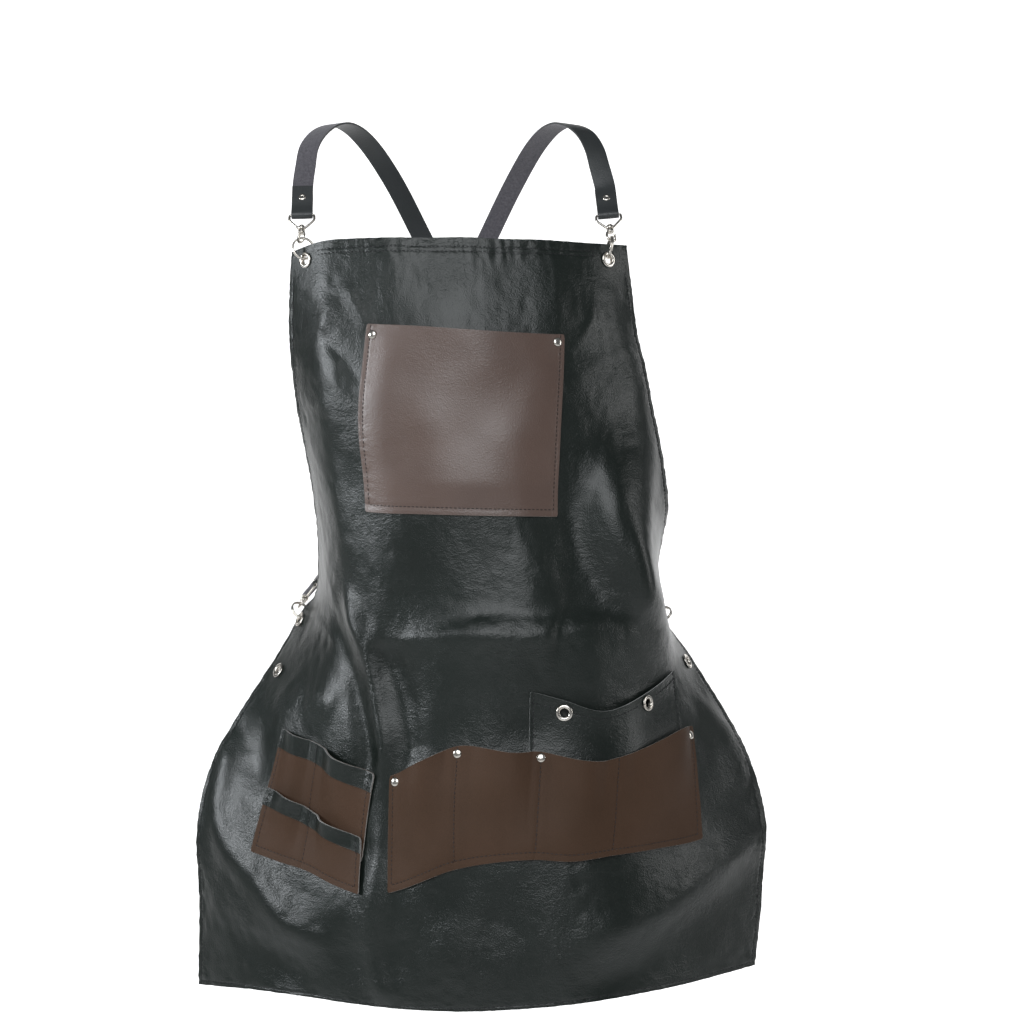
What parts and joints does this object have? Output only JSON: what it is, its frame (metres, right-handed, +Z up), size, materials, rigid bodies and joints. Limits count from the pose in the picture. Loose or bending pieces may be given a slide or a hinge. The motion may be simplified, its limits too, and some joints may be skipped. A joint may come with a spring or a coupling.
{
  "type": "work apron",
  "caption": "Cross-back leather work apron with riveted tool pockets, eyelets, split rings, swivel strap hooks and buckled shoulder straps, hanging as worn.",
  "frame": {"origin": "the point midway between the tops of the two shoulder straps, where they bear on the wearer's shoulders", "axes": "+Z up, the front of the apron faces -Y, +X is to the right for someone looking at the front"},
  "size_m": [0.5587, 0.3033, 0.8506],
  "materials": {
    "black_leather": "glossy black coated leather with a fine grain",
    "brown_leather": "matt brown leather",
    "strap_leather": "dark grey leather with a brushed back",
    "nickel": "polished nickel plate"
  },
  "bodies": {
    "loop_front_left": {"strap_loop_front_left": "nickel"},
    "hook_front_left": {"swivel_hook_front_left": "nickel"},
    "gate_front_left": {"hook_gate_front_left": "nickel"},
    "ring_front_left": {"split_ring_front_left": "nickel"},
    "loop_front_right": {"strap_loop_front_right": "nickel"},
    "hook_front_right": {"swivel_hook_front_right": "nickel"},
    "gate_front_right": {"hook_gate_front_right": "nickel"},
    "ring_front_right": {"split_ring_front_right": "nickel"},
    "loop_waist_left": {"strap_loop_waist_left": "nickel"},
    "hook_waist_left": {"swivel_hook_waist_left": "nickel"},
    "gate_waist_left": {"hook_gate_waist_left": "nickel"},
    "ring_waist_left": {"split_ring_waist_left": "nickel"},
    "loop_waist_right": {"strap_loop_waist_right": "nickel"},
    "hook_waist_right": {"swivel_hook_waist_right": "nickel"},
    "gate_waist_right": {"hook_gate_waist_right": "nickel"},
    "ring_waist_right": {"split_ring_waist_right": "nickel"},
    "prong_left": {"buckle_prong_left": "nickel"},
    "keeper_left": {"strap_keeper_left": "strap_leather"},
    "prong_right": {"buckle_prong_right": "nickel"},
    "keeper_right": {"strap_keeper_right": "strap_leather"},
    "apron": {"apron_panel_bib_top": "black_leather", "apron_panel_bib_low": "black_leather", "apron_panel_hip_left": "black_leather", "apron_panel_waist": "black_leather", "apron_panel_hip_right": "black_leather", "apron_panel_skirt_left": "black_leather", "apron_panel_skirt_middle": "black_leather", "apron_panel_skirt_right": "black_leather", "bib_pocket": "brown_leather", "tool_pocket_black": "black_leather", "tool_pocket_brown": "brown_leather", "hip_pocket_upper": "brown_leather", "hip_pocket_upper_band": "black_leather", "hip_pocket_lower": "brown_leather", "hip_pocket_lower_band": "black_leather", "eyelet_bib_left": "nickel", "eyelet_bib_right": "nickel", "eyelet_waist_left": "nickel", "eyelet_waist_right": "nickel", "eyelet_side_left": "nickel", "eyelet_side_right": "nickel", "eyelet_pocket_left": "nickel", "eyelet_pocket_right": "nickel", "bib_rivet_left": "nickel", "bib_rivet_right": "nickel", "tool_rivet_1": "nickel", "tool_rivet_2": "nickel", "tool_rivet_3": "nickel", "tool_rivet_4": "nickel", "buckle_frame_left": "nickel", "strap_upper_left": "strap_leather", "strap_lower_left": "strap_leather", "strap_rivet_front_left": "nickel", "strap_rivet_waist_right": "nickel", "buckle_frame_right": "nickel", "strap_upper_right": "strap_leather", "strap_lower_right": "strap_leather", "strap_rivet_front_right": "nickel", "strap_rivet_waist_left": "nickel"}
  },
  "joints": [
    {"name": "loop_tilt_front_left", "type": "hinge", "parent": "apron", "child": "loop_front_left", "pos_m": [-0.14071, -0.05517, -0.1013], "axis": [0.9997, 0, 0.0255], "range_deg": [-2, 2]},
    {"name": "hook_swivel_front_left", "type": "hinge", "parent": "loop_front_left", "child": "hook_front_left", "pos_m": [-0.14034, -0.06183, -0.11584], "axis": [-0.0232, 0.4162, 0.909], "range_deg": [-10, 10]},
    {"name": "gate_open_front_left", "type": "hinge", "parent": "hook_front_left", "child": "gate_front_left", "pos_m": [-0.13725, -0.06736, -0.12071], "axis": [0.7144, 0.6429, -0.2762], "range_deg": [0, 20], "stiffness_Nm_per_rad": 0.004},
    {"name": "ring_swing_front_left", "type": "hinge", "parent": "apron", "child": "ring_front_left", "pos_m": [-0.13496, -0.0705, -0.14647], "axis": [-0.2279, 0.1992, 0.9531], "range_deg": [-6, 6]},
    {"name": "loop_tilt_front_right", "type": "hinge", "parent": "apron", "child": "loop_front_right", "pos_m": [0.152, -0.05614, -0.1014], "axis": [0.9962, 0, 0.0871], "range_deg": [-3, 2]},
    {"name": "hook_swivel_front_right", "type": "hinge", "parent": "loop_front_right", "child": "hook_front_right", "pos_m": [0.15322, -0.06371, -0.11544], "axis": [-0.0767, 0.4729, 0.8778], "range_deg": [-10, 10]},
    {"name": "gate_open_front_right", "type": "hinge", "parent": "hook_front_right", "child": "gate_front_right", "pos_m": [0.15746, -0.06507, -0.12208], "axis": [-0.4624, 0.7631, -0.4515], "range_deg": [0, 20], "stiffness_Nm_per_rad": 0.004},
    {"name": "ring_swing_front_right", "type": "hinge", "parent": "apron", "child": "ring_front_right", "pos_m": [0.15057, -0.07247, -0.14619], "axis": [0.1511, 0.1785, 0.9723], "range_deg": [-6, 6]},
    {"name": "loop_tilt_waist_left", "type": "hinge", "parent": "apron", "child": "loop_waist_left", "pos_m": [-0.14603, 0.06333, -0.46515], "axis": [0.5866, -0.5171, 0.6233], "range_deg": [-2, 4]},
    {"name": "hook_swivel_waist_left", "type": "hinge", "parent": "loop_waist_left", "child": "hook_waist_left", "pos_m": [-0.14999, 0.04977, -0.47267], "axis": [0.2474, 0.8472, 0.4701], "range_deg": [-20, 20]},
    {"name": "gate_open_waist_left", "type": "hinge", "parent": "hook_waist_left", "child": "gate_waist_left", "pos_m": [-0.1492, 0.04184, -0.47325], "axis": [0.7712, 0.1216, -0.6249], "range_deg": [0, 20], "stiffness_Nm_per_rad": 0.004},
    {"name": "ring_swing_waist_left", "type": "hinge", "parent": "apron", "child": "ring_waist_left", "pos_m": [-0.15076, 0.02477, -0.49269], "axis": [-0.0752, 0.7315, 0.6777], "range_deg": [-10, 10]},
    {"name": "loop_tilt_waist_right", "type": "hinge", "parent": "apron", "child": "loop_waist_right", "pos_m": [0.20153, 0.04392, -0.46868], "axis": [0.3589, 0.5178, -0.7766], "range_deg": [-5, 5]},
    {"name": "hook_swivel_waist_right", "type": "hinge", "parent": "loop_waist_right", "child": "hook_waist_right", "pos_m": [0.20413, 0.03026, -0.47659], "axis": [-0.162, 0.8539, 0.4945], "range_deg": [-20, 20]},
    {"name": "gate_open_waist_right", "type": "hinge", "parent": "hook_waist_right", "child": "gate_waist_right", "pos_m": [0.20673, 0.02663, -0.48321], "axis": [-0.9192, 0.0516, -0.3904], "range_deg": [0, 20], "stiffness_Nm_per_rad": 0.004},
    {"name": "ring_swing_waist_right", "type": "hinge", "parent": "apron", "child": "ring_waist_right", "pos_m": [0.21051, 0.00239, -0.49223], "axis": [-0.2106, 0.8555, 0.4731], "range_deg": [-10, 10]},
    {"name": "keeper_slide_left", "type": "slide", "parent": "apron", "child": "keeper_left", "axis": [0.4874, 0.0079, -0.8732], "range_m": [-0.01, 0.005]},
    {"name": "keeper_slide_right", "type": "slide", "parent": "apron", "child": "keeper_right", "axis": [-0.4365, 0.0058, -0.8997], "range_m": [-0.01, 0.005]},
    {"name": "prong_play_left", "type": "hinge", "parent": "apron", "child": "prong_left", "pos_m": [0.05708, 0.11945, -0.27099], "axis": [0.8648, -0.1229, 0.4868], "range_deg": [0, 4]},
    {"name": "prong_play_right", "type": "hinge", "parent": "apron", "child": "prong_right", "pos_m": [-0.03956, 0.12587, -0.25124], "axis": [0.889, 0.102, -0.4463], "range_deg": [0, 4]}
  ]
}
